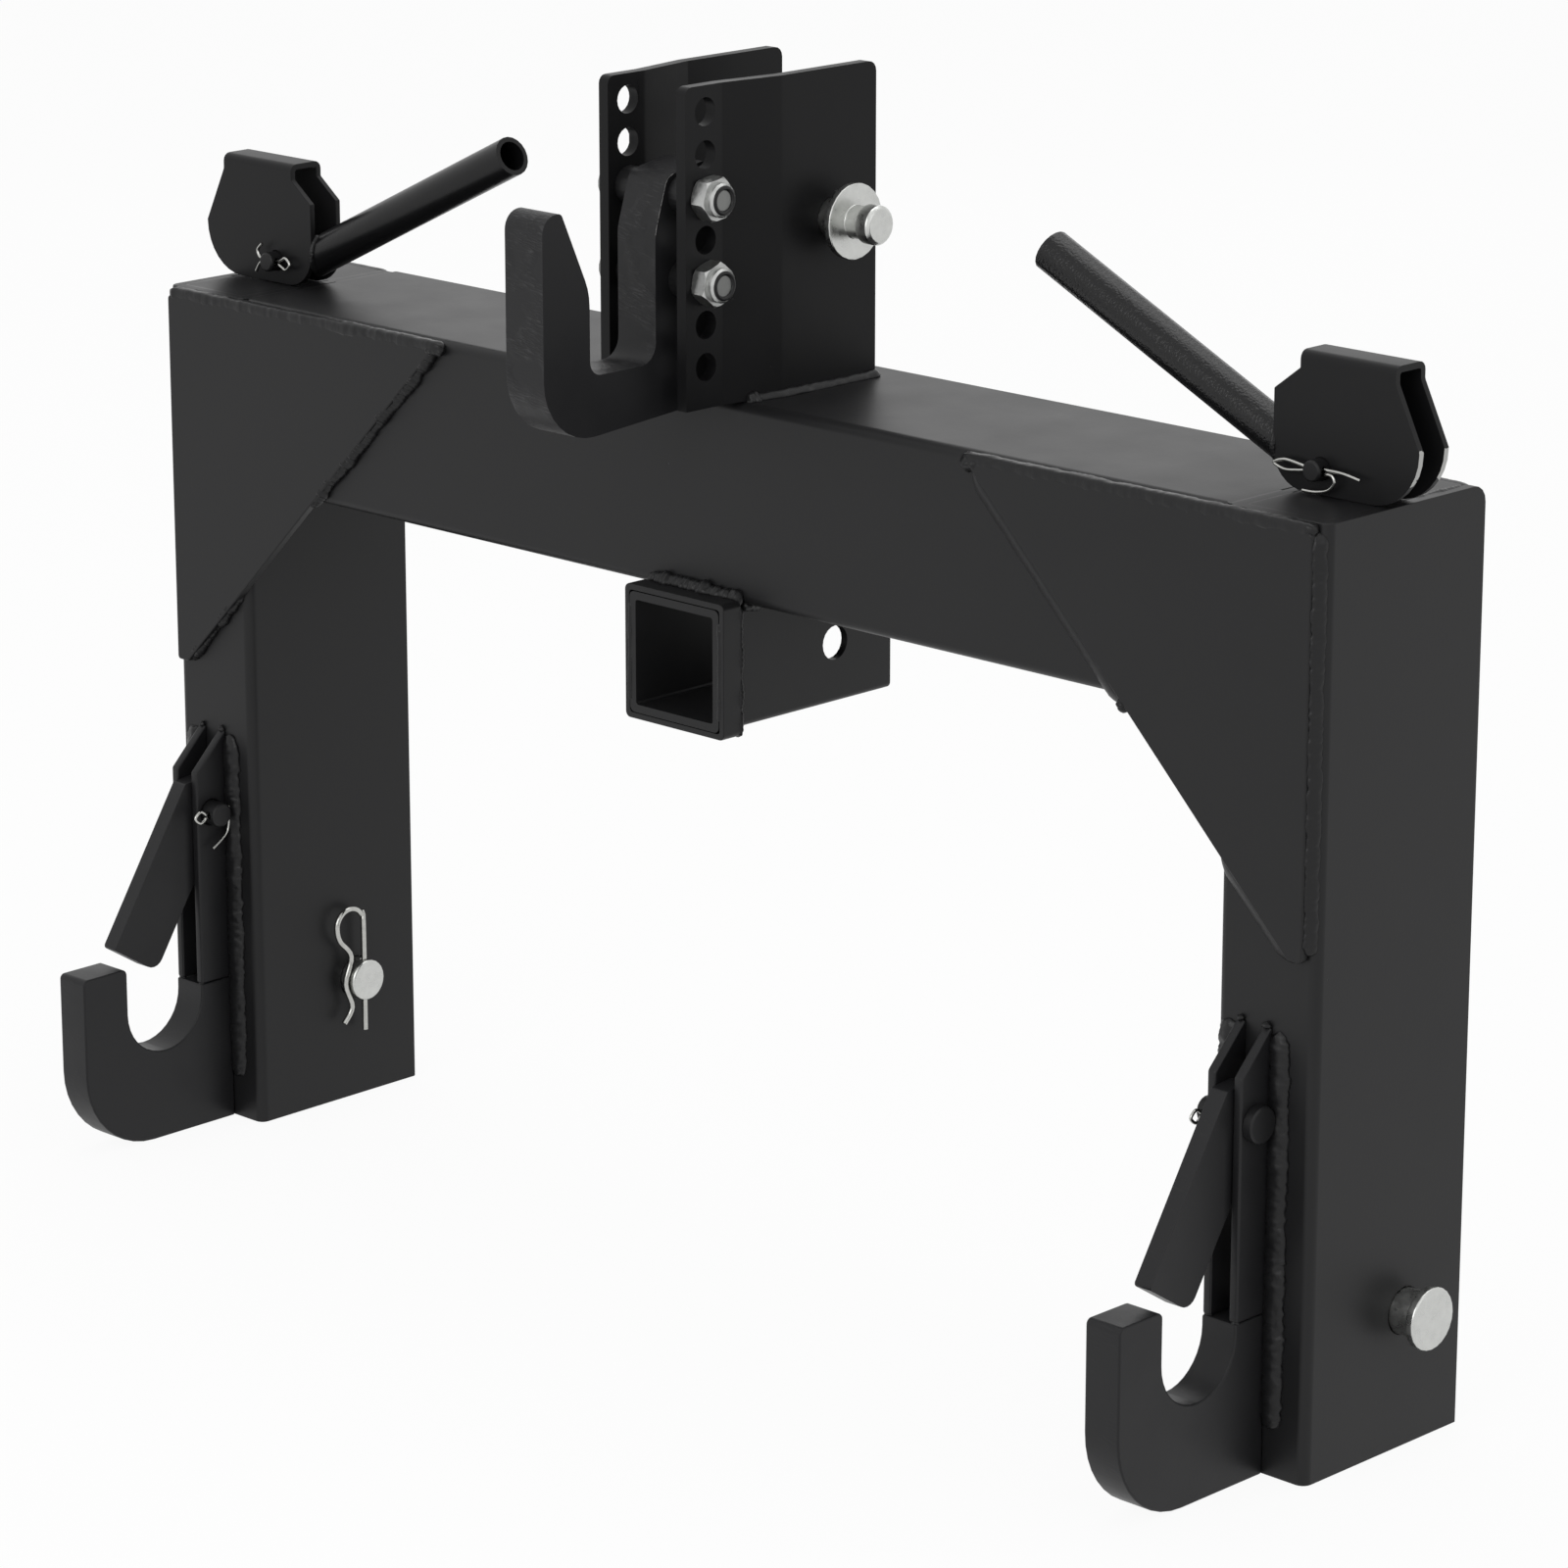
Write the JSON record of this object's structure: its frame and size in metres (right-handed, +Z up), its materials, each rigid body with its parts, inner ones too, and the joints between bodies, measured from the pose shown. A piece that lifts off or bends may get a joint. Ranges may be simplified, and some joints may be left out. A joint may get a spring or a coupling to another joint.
{
  "type": "three point quick hitch",
  "caption": "Welded U frame that couples an implement to a tractor's three links, with latched lower hooks, a bolted top hook, hand levers and a receiver.",
  "frame": {"origin": "on the ground, midway between the legs, at their front faces: the bottom centre of the box", "axes": "+Z up, +X to the right seen from the implement, hooks towards -Y, tractor towards +Y"},
  "size_m": [0.804, 0.22, 0.5973],
  "materials": {
    "black_coat": "satin powder coat",
    "zinc": "zinc plated",
    "dark_steel": "bare, oiled",
    "bright_wire": "bright plated wire"
  },
  "bodies": {
    "frame": {"cross_beam": "black_coat", "receiver_tube": "black_coat", "receiver_collar": "black_coat", "top_hook": "black_coat", "top_hook_bolt_lower": "zinc", "top_hook_nut_lower": "zinc", "top_hook_spacer_lower_right": "black_coat", "top_hook_spacer_lower_left": "black_coat", "top_hook_bolt_upper": "zinc", "top_hook_nut_upper": "zinc", "top_hook_spacer_upper_right": "black_coat", "top_hook_spacer_upper_left": "black_coat", "leg_right": "black_coat", "leg_cap_right": "black_coat", "corner_plate_right": "black_coat", "mast_plate_right": "black_coat", "lower_hook_right": "black_coat", "latch_pin_right": "black_coat", "latch_cotter_right": "bright_wire", "spring_stop_right": "black_coat", "return_spring_right": "bright_wire", "latch_cheek_right_inner": "black_coat", "latch_cheek_right_outer": "black_coat", "leg_left": "black_coat", "leg_cap_left": "black_coat", "corner_plate_left": "black_coat", "mast_plate_left": "black_coat", "lower_hook_left": "black_coat", "latch_pin_left": "black_coat", "latch_cotter_left": "bright_wire", "spring_stop_left": "black_coat", "return_spring_left": "bright_wire", "latch_cheek_left_inner": "black_coat", "latch_cheek_left_outer": "black_coat"},
    "rod_right": {"lift_rod_right": "dark_steel", "rod_clevis_right": "dark_steel", "clevis_pin_right": "dark_steel"},
    "lever_right": {"cam_right": "black_coat", "handle_right": "black_coat", "cam_pin_right": "black_coat", "cam_cotter_right": "bright_wire"},
    "latch_bar_right": {"latch_right": "black_coat"},
    "link_pin_right": {"lower_link_pin_right": "zinc", "lower_link_clip_right": "bright_wire"},
    "rod_left": {"lift_rod_left": "dark_steel", "rod_clevis_left": "dark_steel", "clevis_pin_left": "dark_steel"},
    "lever_left": {"cam_left": "black_coat", "handle_left": "black_coat", "cam_pin_left": "black_coat", "cam_cotter_left": "bright_wire"},
    "latch_bar_left": {"latch_left": "black_coat"},
    "link_pin_left": {"lower_link_pin_left": "zinc", "lower_link_clip_left": "bright_wire"},
    "top_pin": {"top_link_pin": "zinc", "top_link_roll_pin": "zinc", "top_link_clip": "bright_wire"}
  },
  "joints": [
    {"name": "rod_lift_right", "type": "slide", "parent": "frame", "child": "rod_right", "axis": [0, 0, 1], "range_m": [0, 0.0468], "stiffness_N_per_m": 900, "springref_m": -0.02, "deforming": ["return_spring_right"]},
    {"name": "lever_swing_right", "type": "hinge", "parent": "rod_right", "child": "lever_right", "pos_m": [0.347, 0.051, 0.457], "axis": [0, 1, 0], "range_deg": [0, 85]},
    {"name": "latch_swing_right", "type": "hinge", "parent": "frame", "child": "latch_bar_right", "pos_m": [0.3506, -0.011, 0.1705], "axis": [1, 0, 0], "range_deg": [0, 41.3]},
    {"name": "link_pin_turn_right", "type": "hinge", "parent": "frame", "child": "link_pin_right", "pos_m": [0.328, 0.069, 0.0665], "axis": [1, 0, 0], "continuous": true},
    {"name": "rod_lift_left", "type": "slide", "parent": "frame", "child": "rod_left", "axis": [0, 0, 1], "range_m": [0, 0.0468], "stiffness_N_per_m": 900, "springref_m": -0.02, "deforming": ["return_spring_left"]},
    {"name": "lever_swing_left", "type": "hinge", "parent": "rod_left", "child": "lever_left", "pos_m": [-0.347, 0.051, 0.457], "axis": [0, -1, 0], "range_deg": [0, 85]},
    {"name": "latch_swing_left", "type": "hinge", "parent": "frame", "child": "latch_bar_left", "pos_m": [-0.3594, -0.011, 0.1705], "axis": [1, 0, 0], "range_deg": [0, 41.3]},
    {"name": "link_pin_turn_left", "type": "hinge", "parent": "frame", "child": "link_pin_left", "pos_m": [-0.328, 0.069, 0.0665], "axis": [1, 0, 0], "continuous": true},
    {"name": "top_pin_turn", "type": "hinge", "parent": "frame", "child": "top_pin", "pos_m": [0, 0.058, 0.526], "axis": [1, 0, 0], "continuous": true}
  ],
  "couplings": [
    {"joint": "rod_lift_right", "follows": "lever_swing_right", "m_per_rad": 0.031501},
    {"joint": "latch_swing_right", "follows": "lever_swing_right", "ratio": 0.48588},
    {"joint": "rod_lift_left", "follows": "lever_swing_left", "m_per_rad": 0.031501},
    {"joint": "latch_swing_left", "follows": "lever_swing_left", "ratio": 0.48588}
  ]
}
